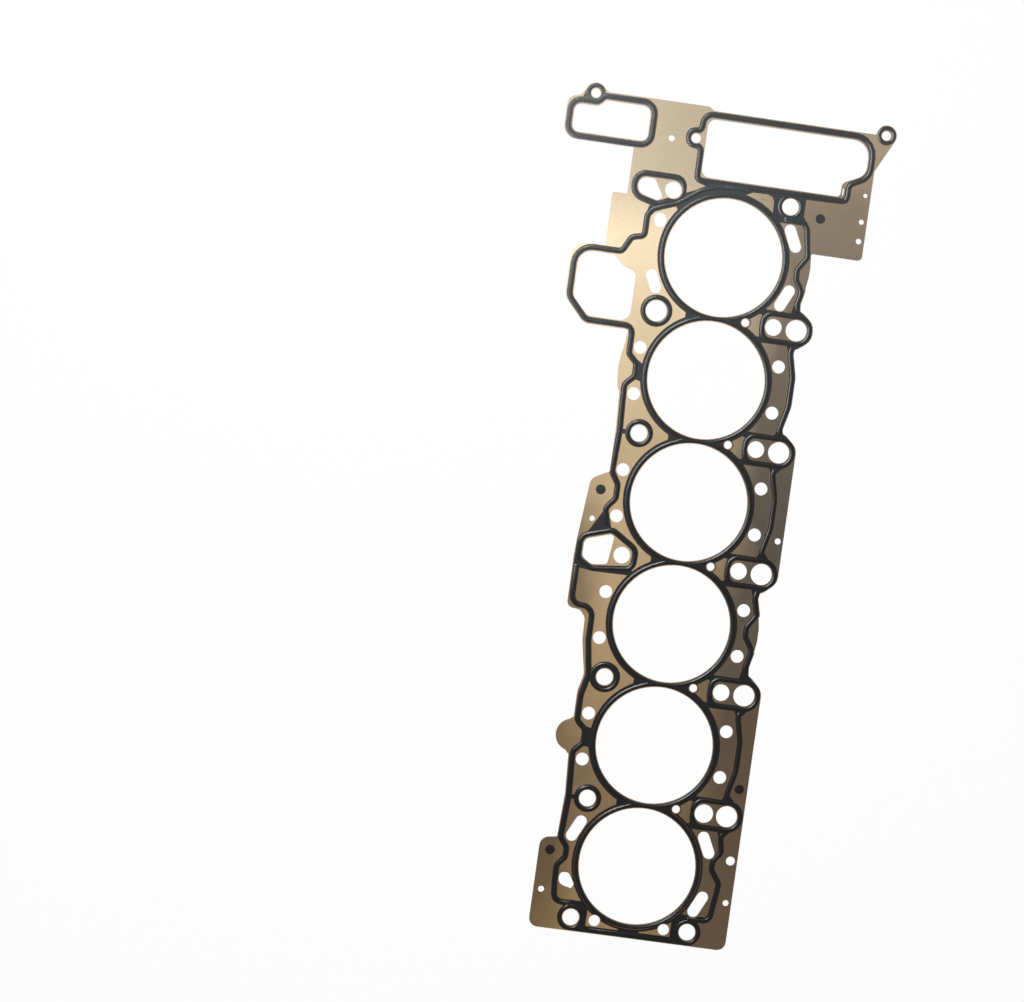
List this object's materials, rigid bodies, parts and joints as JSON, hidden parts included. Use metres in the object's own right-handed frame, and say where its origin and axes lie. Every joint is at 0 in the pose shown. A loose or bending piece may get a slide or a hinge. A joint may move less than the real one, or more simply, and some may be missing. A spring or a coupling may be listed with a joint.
{
  "type": "cylinder head gasket",
  "caption": "Multi-layer steel head gasket for a straight six engine, with beaded and printed sealing lines around the bores, bolts and passages.",
  "frame": {"origin": "centre of the rectangle of the four end head bolts, at the middle of the gasket's thickness", "axes": "+Z away from the block towards the head; +Y along the row of cylinders towards the timing end; +X towards the side with the drain holes"},
  "size_m": [0.2441, 0.6229, 0.0018],
  "materials": {
    "coated_steel": "thin bronze-coloured lacquer, semi-gloss",
    "spacer_steel": "plain grey zinc spangle, dull",
    "black_elastomer": "screen-printed elastomer, satin"
  },
  "bodies": {
    "root": {"bare_spacer_layer": "spacer_steel", "head_side_layer": "coated_steel", "block_side_layer": "coated_steel", "head_side_seal_print": "black_elastomer", "head_side_port_print": "black_elastomer", "head_side_tab_print": "black_elastomer", "head_side_sleeve_print": "black_elastomer", "head_side_support_dots": "black_elastomer", "block_side_seal_print": "black_elastomer", "block_side_port_print": "black_elastomer", "block_side_tab_print": "black_elastomer", "block_side_sleeve_print": "black_elastomer", "block_side_support_dots": "black_elastomer"}
  },
  "joints": []
}
